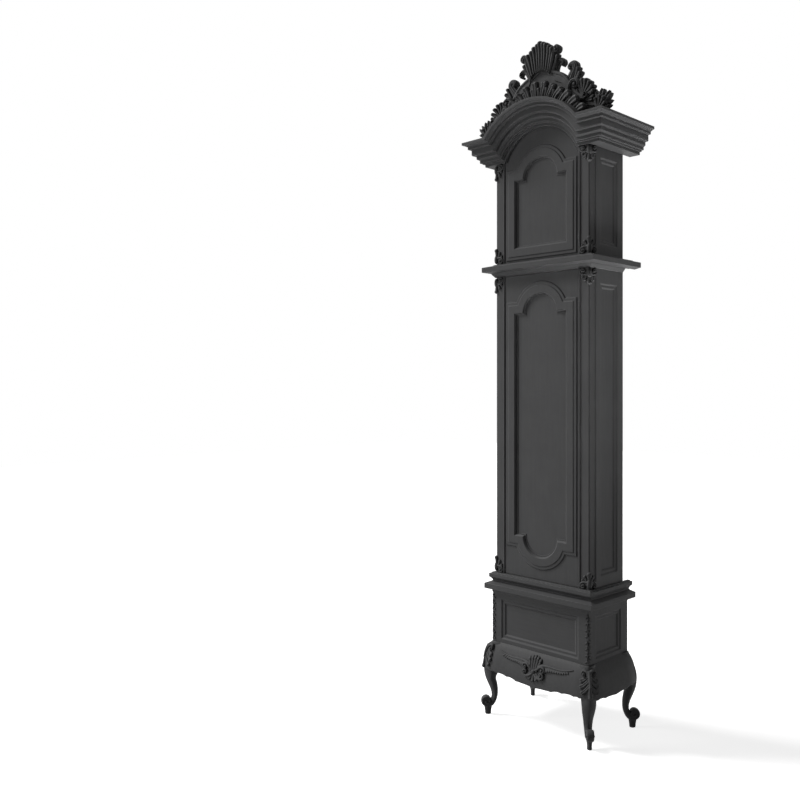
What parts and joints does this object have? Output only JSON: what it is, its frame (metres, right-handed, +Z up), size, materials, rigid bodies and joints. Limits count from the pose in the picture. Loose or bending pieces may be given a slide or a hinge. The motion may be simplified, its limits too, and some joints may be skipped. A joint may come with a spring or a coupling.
{
  "type": "longcase clock",
  "caption": "Longcase clock with an arched hood, carved crest, arched doors, a bombe base and scrolled cabriole legs, all dark charcoal",
  "frame": {"origin": "on the floor, under the middle of the clock's overall box", "axes": "+Z up, -Y out of the dial to the front, +X to the viewer's right when facing the dial"},
  "size_m": [0.6528, 0.3736, 2.6],
  "materials": {
    "case_paint": "matte",
    "bare_wood": "matte",
    "brass": "satin",
    "steel": "satin",
    "bell_metal": "satin",
    "silvered": "satin"
  },
  "bodies": {
    "case": {"apron_carving": "case_paint", "apron_front": "case_paint", "apron_sides_and_back": "case_paint", "back_board": "bare_wood", "back_cock": "brass", "base_mouldings": "case_paint", "bell": "bell_metal", "chapter_ring": "silvered", "dial_plate": "brass", "front_left_leg": "case_paint", "front_right_leg": "case_paint", "knee_carvings": "case_paint", "movement_frame": "brass", "plinth_carcass": "case_paint", "plinth_front": "case_paint", "plinth_garlands": "case_paint", "rear_left_leg": "case_paint", "rear_right_leg": "case_paint", "seat_board": "bare_wood", "seat_cheeks": "bare_wood", "strike_chain": "brass", "throat_moulding": "case_paint", "time_chain": "brass", "trunk_beads": "case_paint", "trunk_corner_carvings": "case_paint", "trunk_front_frame": "case_paint", "trunk_post_hinges": "steel", "trunk_sides": "case_paint"},
    "hood": {"hood_base": "case_paint", "hood_cornice": "case_paint", "hood_sides": "case_paint", "hood_front_frame": "case_paint", "hood_beads": "case_paint", "hood_top_board": "case_paint", "hood_mask": "bare_wood", "crest_board": "case_paint", "crest_shell": "case_paint", "crest_scrolls": "case_paint", "arch_fringe": "case_paint", "hood_corner_carvings": "case_paint", "hood_post_hinges": "steel"},
    "hood_door": {"hood_door_frame": "case_paint", "hood_door_panel": "case_paint", "hood_door_hinges": "steel"},
    "trunk_door": {"trunk_door_frame": "case_paint", "trunk_door_panel": "case_paint", "trunk_door_hinges": "steel"},
    "minute_arbor": {"centre_wheel": "brass", "minute_hand": "steel"},
    "hour_pipe": {"hour_hand": "steel"},
    "third_arbor": {"third_wheel": "brass"},
    "escape_arbor": {"escape_wheel": "brass"},
    "anchor": {"pallet_anchor": "steel"},
    "pendulum": {"pendulum_rod": "steel", "pendulum_bob": "brass"},
    "time_wheel": {"time_chain_wheel": "brass"},
    "strike_wheel": {"strike_chain_wheel": "brass"},
    "time_weight": {"time_weight": "brass"},
    "strike_weight": {"strike_weight": "brass"},
    "hammer": {"bell_hammer": "steel"}
  },
  "joints": [
    {"name": "hood_slide", "type": "slide", "parent": "case", "child": "hood", "axis": [0, -1, 0], "range_m": [0, 0.3]},
    {"name": "hood_door_hinge", "type": "hinge", "parent": "hood", "child": "hood_door", "pos_m": [0.176, -0.1038, 2], "axis": [0, 0, 1], "range_deg": [0, 100]},
    {"name": "trunk_door_hinge", "type": "hinge", "parent": "case", "child": "trunk_door", "pos_m": [0.176, -0.1038, 1.14], "axis": [0, 0, 1], "range_deg": [0, 100]},
    {"name": "minute_turn", "type": "hinge", "parent": "case", "child": "minute_arbor", "pos_m": [0, 0, 1.975], "axis": [0, 1, 0], "continuous": true},
    {"name": "hour_turn", "type": "hinge", "parent": "case", "child": "hour_pipe", "pos_m": [0, 0, 1.975], "axis": [0, 1, 0], "continuous": true},
    {"name": "third_turn", "type": "hinge", "parent": "case", "child": "third_arbor", "pos_m": [0.024, 0, 2], "axis": [0, 1, 0], "continuous": true},
    {"name": "escape_turn", "type": "hinge", "parent": "case", "child": "escape_arbor", "pos_m": [0, 0, 2.02], "axis": [0, 1, 0], "continuous": true},
    {"name": "pendulum_swing", "type": "hinge", "parent": "case", "child": "pendulum", "pos_m": [0, 0.062, 2.045], "axis": [0, 1, 0], "range_deg": [-3, 3]},
    {"name": "anchor_rock", "type": "hinge", "parent": "case", "child": "anchor", "pos_m": [0, 0, 2.045], "axis": [0, 1, 0], "range_deg": [-3, 3]},
    {"name": "time_weight_drop", "type": "slide", "parent": "case", "child": "time_weight", "axis": [0, 0, -1], "range_m": [0, 0.7], "deforming": ["time_chain"]},
    {"name": "strike_weight_drop", "type": "slide", "parent": "case", "child": "strike_weight", "axis": [0, 0, -1], "range_m": [0, 0.7], "deforming": ["strike_chain"]},
    {"name": "time_wheel_turn", "type": "hinge", "parent": "case", "child": "time_wheel", "pos_m": [-0.03, 0, 1.932], "axis": [0, 1, 0], "continuous": true},
    {"name": "strike_wheel_turn", "type": "hinge", "parent": "case", "child": "strike_wheel", "pos_m": [0.03, 0, 1.932], "axis": [0, 1, 0], "continuous": true},
    {"name": "hammer_lift", "type": "hinge", "parent": "case", "child": "hammer", "pos_m": [0.03, 0, 2.0387], "axis": [0, 1, 0], "range_deg": [0, 15]}
  ],
  "couplings": [
    {"joint": "hour_turn", "follows": "minute_turn", "ratio": 0.083333},
    {"joint": "third_turn", "follows": "minute_turn", "ratio": -7.5},
    {"joint": "escape_turn", "follows": "minute_turn", "ratio": 60},
    {"joint": "anchor_rock", "follows": "pendulum_swing", "ratio": 1},
    {"joint": "time_wheel_turn", "follows": "time_weight_drop", "rad_per_m": -44.843},
    {"joint": "strike_wheel_turn", "follows": "strike_weight_drop", "rad_per_m": 44.843}
  ]
}
